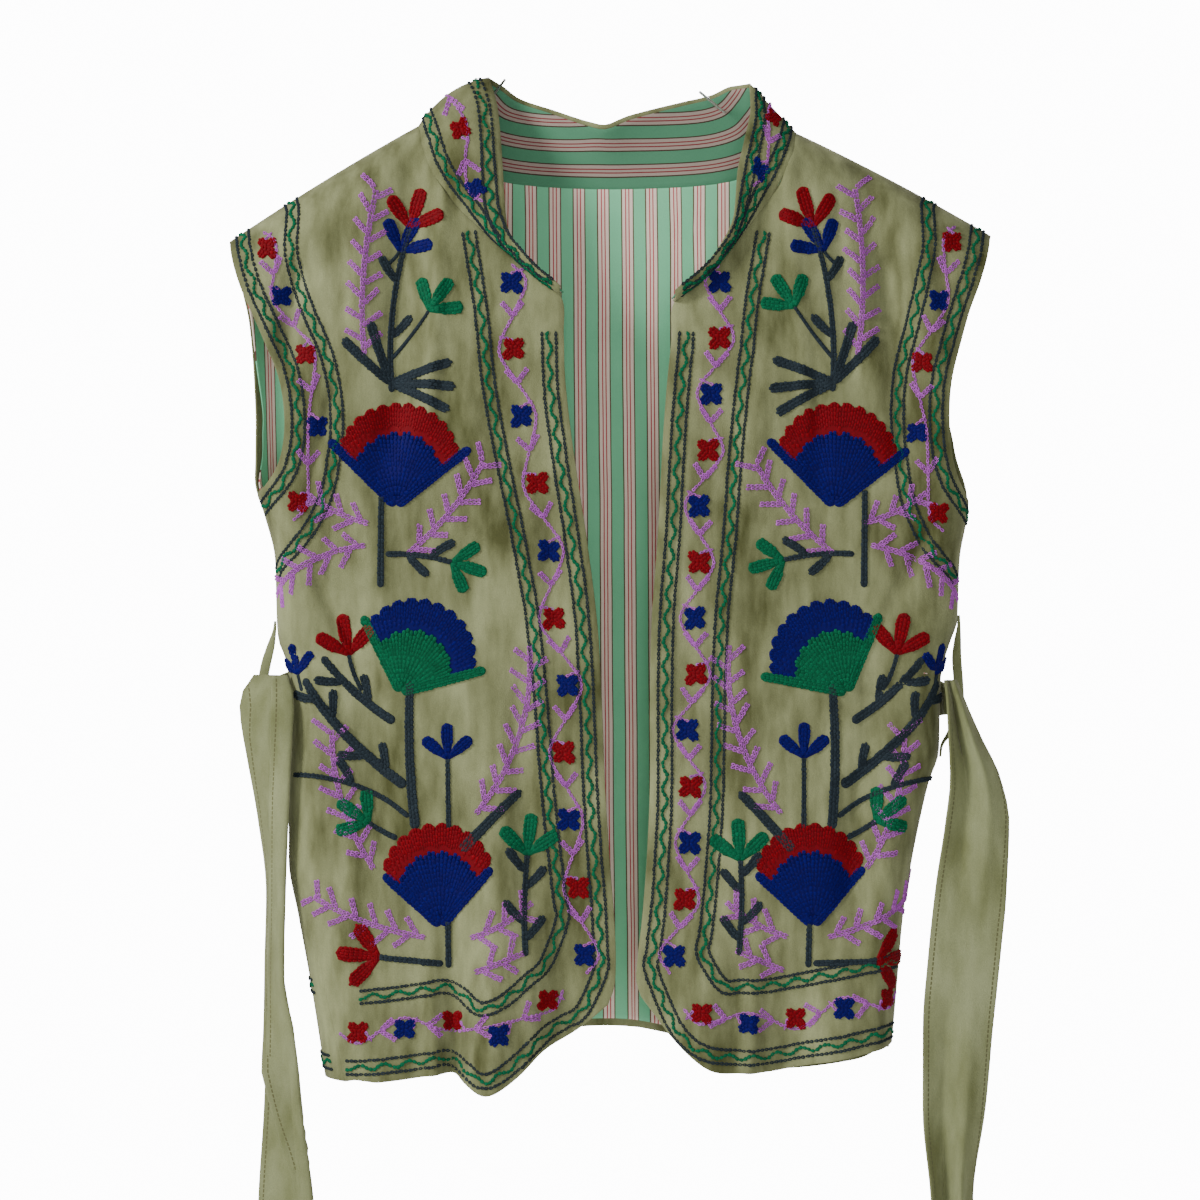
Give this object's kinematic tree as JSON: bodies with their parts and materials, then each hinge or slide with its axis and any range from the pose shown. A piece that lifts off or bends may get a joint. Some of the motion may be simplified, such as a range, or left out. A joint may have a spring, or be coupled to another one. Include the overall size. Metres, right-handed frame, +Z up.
{
  "type": "embroidered velvet waistcoat on wall pins",
  "caption": "Open-fronted hip-length velvet waistcoat with stand collar, floral chain-stitch embroidery, striped cotton lining and a sash, hanging from wall pins.",
  "frame": {"origin": "in the wall's plane, midway between the two pins that hold the collar", "axes": "+Z up, +Y into the wall, +X towards the wearer's left; the garment faces -Y"},
  "size_m": [0.5143, 0.0802, 0.9616],
  "materials": {
    "velvet": "cotton velvet with a soft mottled nap",
    "lining": "matte striped cotton",
    "sash": "plain velvet, topstitched edges",
    "steel": "plain bright pin"
  },
  "bodies": {
    "root": {"back": "velvet", "front_left": "velvet", "front_right": "velvet", "collar": "velvet", "lining_back": "lining", "lining_left": "lining", "lining_right": "lining", "lining_collar": "lining", "belt_back": "sash", "belt_tail_left": "sash", "belt_tail_right": "sash", "belt_loop_left": "sash", "belt_loop_right": "sash", "pin_left": "steel", "pin_right": "steel"}
  },
  "joints": []
}
